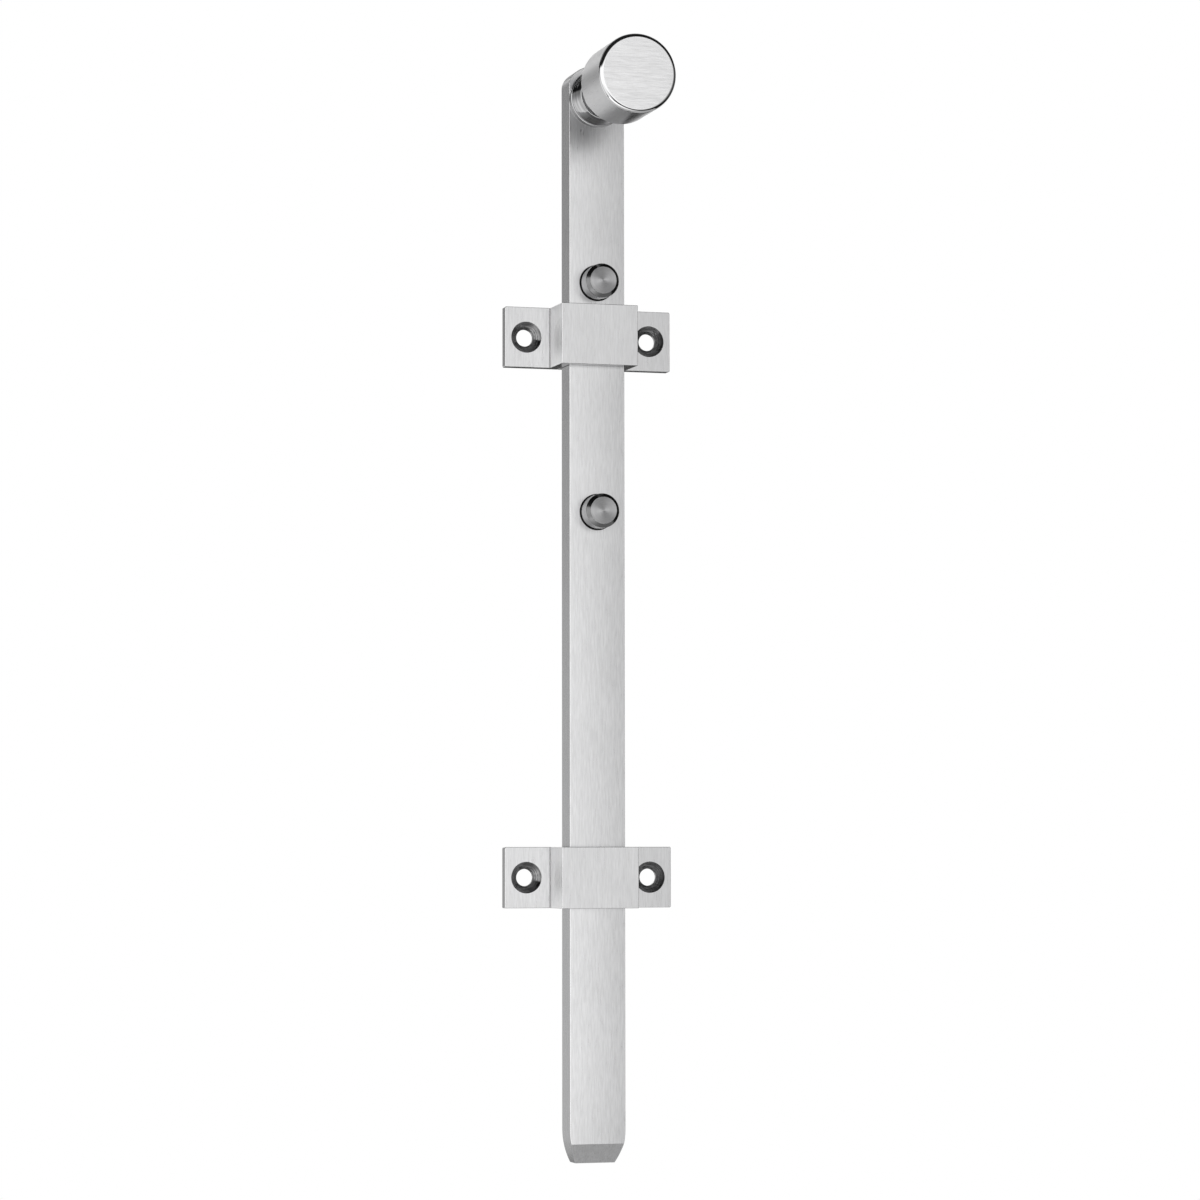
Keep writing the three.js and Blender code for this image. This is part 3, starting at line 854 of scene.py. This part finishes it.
def make_rivet(side):
    node = f"{side}_guide_rivet"
    low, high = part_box(node)
    head_back = low.y + RIVET_HEAD_HEIGHT
    tail_front = high.y - RIVET_TAIL_HEIGHT
    corners = [
        (0, high.y, 0),
        (RIVET_TAIL, high.y, BREAK),
        (RIVET_TAIL, tail_front, 0),
        (RIVET_SHANK, tail_front, 0),
        (RIVET_SHANK, head_back, 0),
        (RIVET_HEAD, head_back, BREAK / 2),
        (RIVET_SHANK, low.y, 2 * BREAK),
        (0, low.y, 0),
    ]
    bm = revolve(fillet(corners, closed=False), height_of(node), rings=SMALL_RINGS)
    settle(new_object(f"{node}_fine", bm, [screw_satin]), node, "guides")


# ---------------------------------------------------------------- studio and camera


def glow_unless_seen(graph, glow, shader_kind):
    """A white emitter: plain white to the camera, and the given glow to whatever the steel mirrors."""
    seen = graph.add("ShaderNodeLightPath").outputs["Is Camera Ray"]
    # Input 0 is the factor, and 2 and 3 are the two numbers mixed
    strength = graph.add("ShaderNodeMix", {0: seen, 2: glow, 3: 1.0}).outputs[0]
    return graph.add(shader_kind, {"Color": (1, 1, 1, 1), "Strength": strength}).outputs[0]


def make_floor():
    """A pale round floor, brightest on its front left, and lit along the left of its rim."""
    bm = bmesh.new()
    bmesh.ops.create_circle(bm, cap_ends=True, segments=FLOOR_SIDES, radius=FLOOR_RADIUS)
    bmesh.ops.translate(bm, verts=bm.verts, vec=(0, 0, BAR_TIP - FLOOR_DROP))
    material = bpy.data.materials.new("pale_floor")
    material.use_nodes = True
    graph = Graph(material.node_tree)
    coordinates = graph.add("ShaderNodeTexCoord").outputs["Object"]
    lit_side = graph.add("ShaderNodeVectorMath", {0: coordinates, 1: FLOOR_LIT_SIDE}, operation="DOT_PRODUCT")
    reach = graph.add("ShaderNodeVectorMath", {0: coordinates}, operation="LENGTH").outputs["Value"]
    left_glow = graph.fade(lit_side.outputs["Value"], 0, FLOOR_LIT_REACH, FLOOR_LEVEL, FLOOR_LIT_LEVEL)
    x = graph.add("ShaderNodeSeparateXYZ", {0: coordinates}).outputs[0]
    at_rim = graph.fade(reach, FLOOR_RIM_START, FLOOR_RADIUS, 0, FLOOR_RIM_LEVEL)
    rim_glow = graph.product(at_rim, graph.fade(x, -FLOOR_MIDDLE, FLOOR_MIDDLE, 1, 0))
    surface = glow_unless_seen(graph, graph.math("MAXIMUM", left_glow, rim_glow), "ShaderNodeEmission")
    graph.add("ShaderNodeOutputMaterial", {"Surface": surface})
    new_object("floor", bm, [material])


def make_world():
    """A soft white studio: bright in front and at the left, dark overhead and at the far right."""
    world = bpy.data.worlds.new("studio")
    bpy.context.scene.world = world
    world.use_nodes = True
    graph = Graph(world.node_tree)
    direction = graph.add("ShaderNodeTexCoord").outputs["Generated"]
    parts = graph.add("ShaderNodeSeparateXYZ", {0: direction}).outputs
    lit = DARK_LEVEL
    for level, fades in LIGHTS:
        glow = graph.product(level, *[graph.fade(parts[part], *limits) for part, *limits in fades])
        lit = graph.math("MAXIMUM", lit, glow)
    background = glow_unless_seen(graph, lit, "ShaderNodeBackground")
    graph.add("ShaderNodeOutputWorld", {"Surface": background})


def make_camera():
    level_forward = Vector((math.sin(CAMERA_YAW), math.cos(CAMERA_YAW), 0))
    forward = level_forward * math.cos(CAMERA_PITCH) + Vector((0, 0, math.sin(CAMERA_PITCH)))
    right = Vector((math.cos(CAMERA_YAW), -math.sin(CAMERA_YAW), 0))
    up = right.cross(forward)
    turned_right = right * math.cos(CAMERA_ROLL) + up * math.sin(CAMERA_ROLL)
    turned_up = up * math.cos(CAMERA_ROLL) - right * math.sin(CAMERA_ROLL)
    data = bpy.data.cameras.new("camera")
    data.sensor_width = CAMERA_SENSOR
    data.lens = CAMERA_LENS
    camera = bpy.data.objects.new("camera", data)
    rotation = Matrix((turned_right, turned_up, -forward)).transposed()
    camera.matrix_world = Matrix.Translation(CAMERA_PLACE) @ rotation.to_4x4()
    bpy.context.scene.collection.objects.link(camera)
    bpy.context.scene.camera = camera


make_camera()
make_world()
make_floor()
bpy.context.scene.view_settings.view_transform = "Standard"

make_bar()
make_knob_head()
make_knob_neck()
make_knob_collar()
make_screw("knob_screw", KNOB_SCREW)
for side in SIDES:
    make_stop_pin(side)
    make_screw(f"{side}_stop_screw", STOP_SCREW)
    make_bridge(side)
    make_back_plate(side)
    make_spring(side)
    make_rivet(side)
